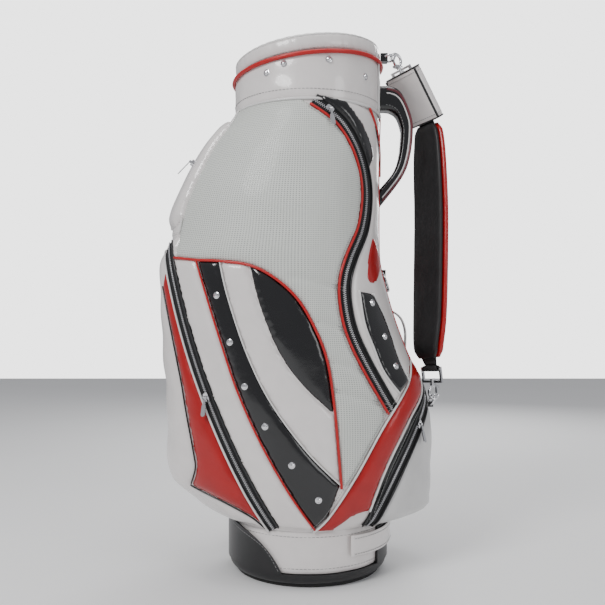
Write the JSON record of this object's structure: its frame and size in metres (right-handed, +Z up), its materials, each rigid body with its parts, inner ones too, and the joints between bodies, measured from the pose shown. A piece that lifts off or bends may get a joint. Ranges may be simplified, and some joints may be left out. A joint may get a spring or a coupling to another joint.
{
  "type": "golf staff bag",
  "caption": "Tall stiff golf bag with padded mouth, club dividers, zipped pockets, lift handle and a clip-on shoulder strap.",
  "frame": {"origin": "centre of the round sole, on the floor", "axes": "+Z up to the mouth, -X the front with the ball pocket, +X the spine with handle and strap, -Y the bag's left"},
  "size_m": [0.4994, 0.3022, 0.8731],
  "materials": {
    "sole_rubber": "matte",
    "black_moulding": "gloss",
    "inner_plastic": "matte",
    "white_leather": "gloss",
    "pocket_fabric": "gloss",
    "black_leather": "gloss",
    "red_leather": "gloss",
    "black_webbing": "matte",
    "zip_grey": "satin",
    "chrome": "polished",
    "rod_metal": "satin"
  },
  "bodies": {
    "bag": {"base_band": "white_leather", "base_grab_strap": "white_leather", "base_pad": "black_webbing", "base_sole": "sole_rubber", "base_tub": "black_moulding", "body_barrel": "inner_plastic", "cuff_cover": "white_leather", "cuff_piping": "red_leather", "cuff_ring": "inner_plastic", "cuff_roll": "white_leather", "divider_grid": "inner_plastic", "divider_panels": "black_webbing", "front_pocket": "pocket_fabric", "front_zips": "zip_grey", "handle_core": "inner_plastic", "handle_cover": "black_leather", "heel_guard": "black_moulding", "leather_loop": "white_leather", "lower_d_ring": "chrome", "rear_pocket": "pocket_fabric", "rear_zips": "zip_grey", "ring_tabs": "black_leather", "side_gusset_left": "pocket_fabric", "side_gusset_right": "pocket_fabric", "side_pocket_left": "pocket_fabric", "side_pocket_right": "pocket_fabric", "side_zips": "zip_grey", "spine_panel": "black_leather", "stay_rods": "rod_metal", "studs": "chrome", "toe_guard": "black_moulding", "upper_d_ring": "chrome", "upper_front_pocket": "pocket_fabric", "upper_front_zip": "zip_grey"},
    "strap": {"upper_hook": "chrome", "lower_hook": "chrome", "upper_hook_eye": "chrome", "lower_hook_eye": "chrome", "strap_webbing": "black_webbing", "strap_pad": "black_leather", "strap_shell": "red_leather", "strap_cover": "white_leather"},
    "upper_gate": {"upper_hook_gate": "chrome"},
    "lower_gate": {"lower_hook_gate": "chrome"},
    "towel_ring": {"towel_ring": "chrome"},
    "upper_front_zip_slider": {"upper_front_zip_slider": "chrome"},
    "upper_front_zip_puller": {"upper_front_zip_puller": "chrome"},
    "side_zip_left_slider": {"side_zip_left_slider": "chrome"},
    "side_zip_left_puller": {"side_zip_left_puller": "chrome"},
    "front_zip_left_slider": {"front_zip_left_slider": "chrome"},
    "front_zip_left_puller": {"front_zip_left_puller": "chrome"},
    "rear_zip_left_slider": {"rear_zip_left_slider": "chrome"},
    "rear_zip_left_puller": {"rear_zip_left_puller": "chrome"},
    "side_zip_right_slider": {"side_zip_right_slider": "chrome"},
    "side_zip_right_puller": {"side_zip_right_puller": "chrome"},
    "front_zip_right_slider": {"front_zip_right_slider": "chrome"},
    "front_zip_right_puller": {"front_zip_right_puller": "chrome"},
    "rear_zip_right_slider": {"rear_zip_right_slider": "chrome"},
    "rear_zip_right_puller": {"rear_zip_right_puller": "chrome"}
  },
  "joints": [
    {"name": "strap_swing", "type": "hinge", "parent": "bag", "child": "strap", "pos_m": [0.21622, 0, 0.28615], "axis": [-0.1168, 0, 0.9932], "range_deg": [-80, 10]},
    {"name": "upper_gate_hinge", "type": "hinge", "parent": "strap", "child": "upper_gate", "pos_m": [0.15016, -0.00001, 0.8476], "axis": [-0.5383, 0.8404, -0.0633], "range_deg": [0, 18], "stiffness_Nm_per_rad": 0.01},
    {"name": "lower_gate_hinge", "type": "hinge", "parent": "strap", "child": "lower_gate", "pos_m": [0.22046, 0.00376, 0.30001], "axis": [-0.5383, 0.8404, -0.0633], "range_deg": [0, 18], "stiffness_Nm_per_rad": 0.01},
    {"name": "towel_ring_swing", "type": "hinge", "parent": "bag", "child": "towel_ring", "pos_m": [0.128, 0, 0.492], "axis": [0, -1, 0], "range_deg": [0, 100]},
    {"name": "upper_front_zip_run", "type": "hinge", "parent": "bag", "child": "upper_front_zip_slider", "pos_m": [-0.0768, 0, 0.67239], "axis": [-0.0157, 0, -0.9999], "range_deg": [-4.24, 40.07]},
    {"name": "upper_front_zip_puller_swing", "type": "hinge", "parent": "upper_front_zip_slider", "child": "upper_front_zip_puller", "pos_m": [-0.19541, -0.03836, 0.67708], "axis": [-0.31, 0.9507, 0], "range_deg": [0, 85]},
    {"name": "side_zip_left_run", "type": "hinge", "parent": "bag", "child": "side_zip_left_slider", "pos_m": [-0.06182, -0.12316, 0.60303], "axis": [-0.2464, 0.959, 0.1399], "range_deg": [-1.95, 48.08]},
    {"name": "side_zip_left_puller_swing", "type": "hinge", "parent": "side_zip_left_slider", "child": "side_zip_left_puller", "pos_m": [0.03482, -0.12487, 0.74142], "axis": [-0.9242, -0.3819, 0], "range_deg": [0, 85]},
    {"name": "front_zip_left_run", "type": "hinge", "parent": "bag", "child": "front_zip_left_slider", "pos_m": [0.78357, 0.49896, 0.57585], "axis": [0.4461, -0.8355, 0.3207], "range_deg": [-9.59, 1.34]},
    {"name": "front_zip_left_puller_swing", "type": "hinge", "parent": "front_zip_left_slider", "child": "front_zip_left_puller", "pos_m": [-0.16054, -0.11689, 0.29394], "axis": [-0.8585, 0.5128, 0], "range_deg": [0, 85]},
    {"name": "rear_zip_left_run", "type": "hinge", "parent": "bag", "child": "rear_zip_left_slider", "pos_m": [0.10364, 0.16827, 0.11496], "axis": [0.8796, 0.0058, -0.4757], "range_deg": [-1.86, 20.05]},
    {"name": "rear_zip_left_puller_swing", "type": "hinge", "parent": "rear_zip_left_slider", "child": "rear_zip_left_puller", "pos_m": [0.18176, -0.07707, 0.24699], "axis": [-0.5893, -0.8079, 0], "range_deg": [0, 85]},
    {"name": "side_zip_right_run", "type": "hinge", "parent": "bag", "child": "side_zip_right_slider", "pos_m": [-0.06182, 0.12316, 0.60303], "axis": [0.2464, 0.959, -0.1399], "range_deg": [-1.95, 48.08]},
    {"name": "side_zip_right_puller_swing", "type": "hinge", "parent": "side_zip_right_slider", "child": "side_zip_right_puller", "pos_m": [0.03482, 0.12487, 0.74142], "axis": [0.9242, -0.3819, 0], "range_deg": [0, 85]},
    {"name": "front_zip_right_run", "type": "hinge", "parent": "bag", "child": "front_zip_right_slider", "pos_m": [0.78357, -0.49896, 0.57585], "axis": [-0.4461, -0.8355, -0.3207], "range_deg": [-0.96, 9.97]},
    {"name": "front_zip_right_puller_swing", "type": "hinge", "parent": "front_zip_right_slider", "child": "front_zip_right_puller", "pos_m": [-0.21603, 0.08235, 0.45619], "axis": [0.6686, 0.7436, 0], "range_deg": [0, 85]},
    {"name": "rear_zip_right_run", "type": "hinge", "parent": "bag", "child": "rear_zip_right_slider", "pos_m": [0.10364, -0.16827, 0.11496], "axis": [-0.8796, 0.0058, 0.4757], "range_deg": [-1.86, 20.05]},
    {"name": "rear_zip_right_puller_swing", "type": "hinge", "parent": "rear_zip_right_slider", "child": "rear_zip_right_puller", "pos_m": [0.18176, 0.07707, 0.24699], "axis": [0.5893, -0.8079, 0], "range_deg": [0, 85]}
  ]
}
